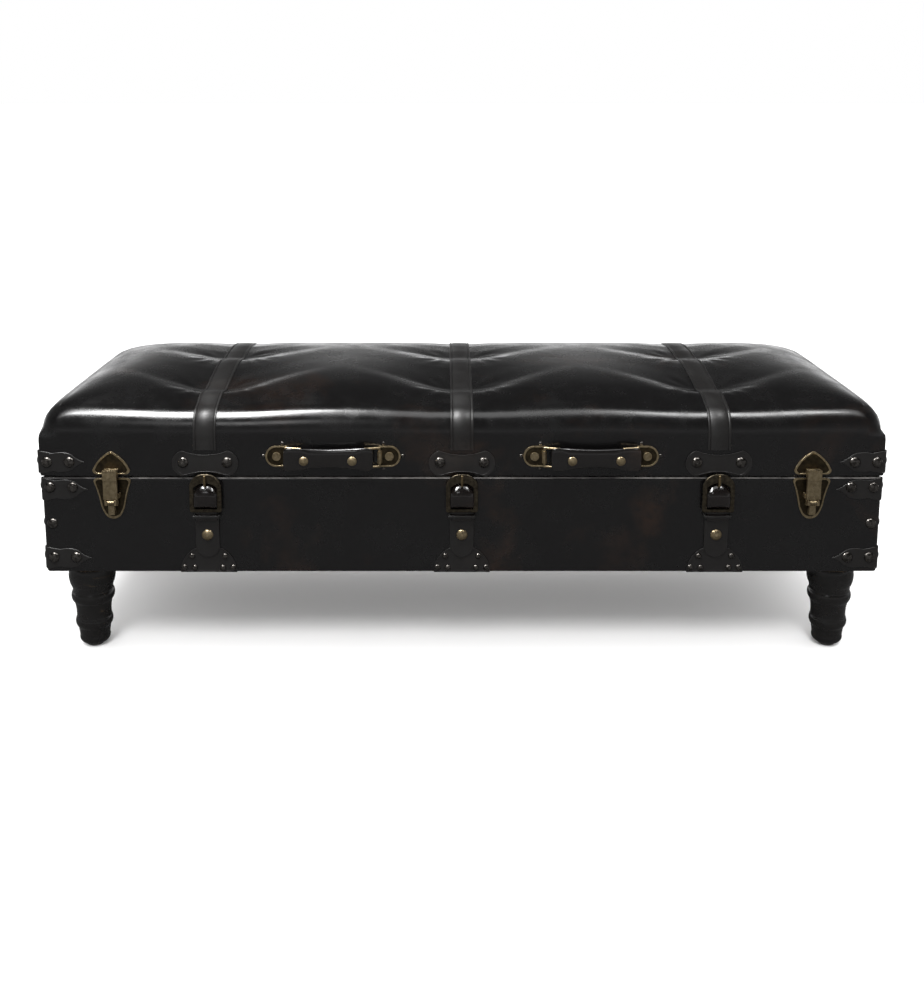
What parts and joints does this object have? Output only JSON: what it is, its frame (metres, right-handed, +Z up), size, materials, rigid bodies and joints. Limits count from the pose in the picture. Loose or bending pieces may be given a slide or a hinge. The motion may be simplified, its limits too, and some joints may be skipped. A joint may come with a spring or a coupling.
{
  "type": "ottoman with storage",
  "caption": "Long low leather trunk ottoman with a hinged padded lid, straps with buckles, toggle latches, carry handles and short turned legs.",
  "frame": {"origin": "on the floor, under the middle of the whole object with its hardware", "axes": "+X to the object's right seen from the front, -Y out of the front with the latches, +Z up"},
  "size_m": [1.1096, 0.42, 0.3725],
  "materials": {
    "panel_wood": "raw board",
    "leather": "glossy, worn",
    "strap_leather": "satin, worn",
    "leg_wood": "black gloss with rub-through",
    "brass": "antique",
    "steel": "satin",
    "black_nail": "satin",
    "foam": "soft foam",
    "lining": "woven",
    "felt": "felt"
  },
  "bodies": {
    "base": {"base_front_panel": "panel_wood", "base_back_panel": "panel_wood", "base_left_panel": "panel_wood", "base_right_panel": "panel_wood", "base_bottom_panel": "lining", "base_leather": "leather", "base_lining": "lining", "leg_front_left": "leg_wood", "leg_front_right": "leg_wood", "leg_back_left": "leg_wood", "leg_back_right": "leg_wood", "leg_bolts": "steel", "leg_glides": "felt", "base_corner_leathers": "strap_leather", "base_nails": "brass", "front_strap_left": "strap_leather", "front_strap_centre": "strap_leather", "front_strap_right": "strap_leather", "strap_patches": "strap_leather", "patch_nails": "brass", "strap_rivets": "brass", "buckle_frames": "brass", "buckle_prongs": "brass", "buckle_tongues": "strap_leather", "strap_keepers": "strap_leather", "latch_plates": "brass", "hinge_base_leaves": "brass", "hinge_pins": "brass", "hinge_base_screws": "brass"},
    "lid": {"lid_front_rail": "panel_wood", "lid_back_rail": "panel_wood", "lid_left_rail": "panel_wood", "lid_right_rail": "panel_wood", "lid_board": "panel_wood", "lid_foam": "foam", "lid_lining": "lining", "lid_leather": "leather", "top_strap_left": "strap_leather", "top_strap_centre": "strap_leather", "top_strap_right": "strap_leather", "strap_bones": "strap_leather", "lid_corner_leathers": "strap_leather", "lid_nails": "brass", "latch_catches": "brass", "handle_plates": "brass", "handle_plate_nails": "black_nail", "hinge_lid_leaves": "brass", "hinge_lid_screws": "brass"},
    "latch_lever_left": {"latch_lever_left": "brass"},
    "latch_loop_left": {"latch_loop_left": "brass"},
    "latch_lever_right": {"latch_lever_right": "brass"},
    "latch_loop_right": {"latch_loop_right": "brass"},
    "handle_left": {"handle_grip_left": "leather", "grip_rivets_left": "brass"},
    "handle_ring_left_left": {"handle_ring_left_left": "brass"},
    "handle_ring_left_right": {"handle_ring_left_right": "brass"},
    "handle_right": {"handle_grip_right": "leather", "grip_rivets_right": "brass"},
    "handle_ring_right_left": {"handle_ring_right_left": "brass"},
    "handle_ring_right_right": {"handle_ring_right_right": "brass"}
  },
  "joints": [
    {"name": "lid_hinge", "type": "hinge", "parent": "base", "child": "lid", "pos_m": [0, 0.206, 0.2534], "axis": [-1, 0, 0], "range_deg": [0, 95]},
    {"name": "latch_lever_left", "type": "hinge", "parent": "base", "child": "latch_lever_left", "pos_m": [-0.455, -0.1915, 0.23], "axis": [-1, 0, 0], "range_deg": [0, 110]},
    {"name": "latch_loop_left", "type": "hinge", "parent": "latch_lever_left", "child": "latch_loop_left", "pos_m": [-0.455, -0.197, 0.222], "axis": [1, 0, 0], "range_deg": [0, 127]},
    {"name": "latch_lever_right", "type": "hinge", "parent": "base", "child": "latch_lever_right", "pos_m": [0.455, -0.1915, 0.23], "axis": [-1, 0, 0], "range_deg": [0, 110]},
    {"name": "latch_loop_right", "type": "hinge", "parent": "latch_lever_right", "child": "latch_loop_right", "pos_m": [0.455, -0.197, 0.222], "axis": [1, 0, 0], "range_deg": [0, 127]},
    {"name": "handle_left_pull", "type": "slide", "parent": "lid", "child": "handle_left", "axis": [0, -1, 0], "range_m": [0, 0.01]},
    {"name": "handle_ring_left_left", "type": "hinge", "parent": "lid", "child": "handle_ring_left_left", "pos_m": [-0.2275, -0.1926, 0.282], "axis": [0, 0, -1], "range_deg": [0, 35]},
    {"name": "handle_ring_left_right", "type": "hinge", "parent": "lid", "child": "handle_ring_left_right", "pos_m": [-0.1065, -0.1926, 0.282], "axis": [0, 0, 1], "range_deg": [0, 35]},
    {"name": "handle_right_pull", "type": "slide", "parent": "lid", "child": "handle_right", "axis": [0, -1, 0], "range_m": [0, 0.01]},
    {"name": "handle_ring_right_left", "type": "hinge", "parent": "lid", "child": "handle_ring_right_left", "pos_m": [0.1065, -0.1926, 0.282], "axis": [0, 0, -1], "range_deg": [0, 35]},
    {"name": "handle_ring_right_right", "type": "hinge", "parent": "lid", "child": "handle_ring_right_right", "pos_m": [0.2275, -0.1926, 0.282], "axis": [0, 0, 1], "range_deg": [0, 35]}
  ],
  "couplings": [
    {"joint": "latch_loop_left", "follows": "latch_lever_left", "ratio": 1.15},
    {"joint": "latch_loop_right", "follows": "latch_lever_right", "ratio": 1.15},
    {"joint": "handle_ring_left_left", "follows": "handle_left_pull", "rad_per_m": 60},
    {"joint": "handle_ring_left_right", "follows": "handle_left_pull", "rad_per_m": 60},
    {"joint": "handle_ring_right_left", "follows": "handle_right_pull", "rad_per_m": 60},
    {"joint": "handle_ring_right_right", "follows": "handle_right_pull", "rad_per_m": 60}
  ]
}
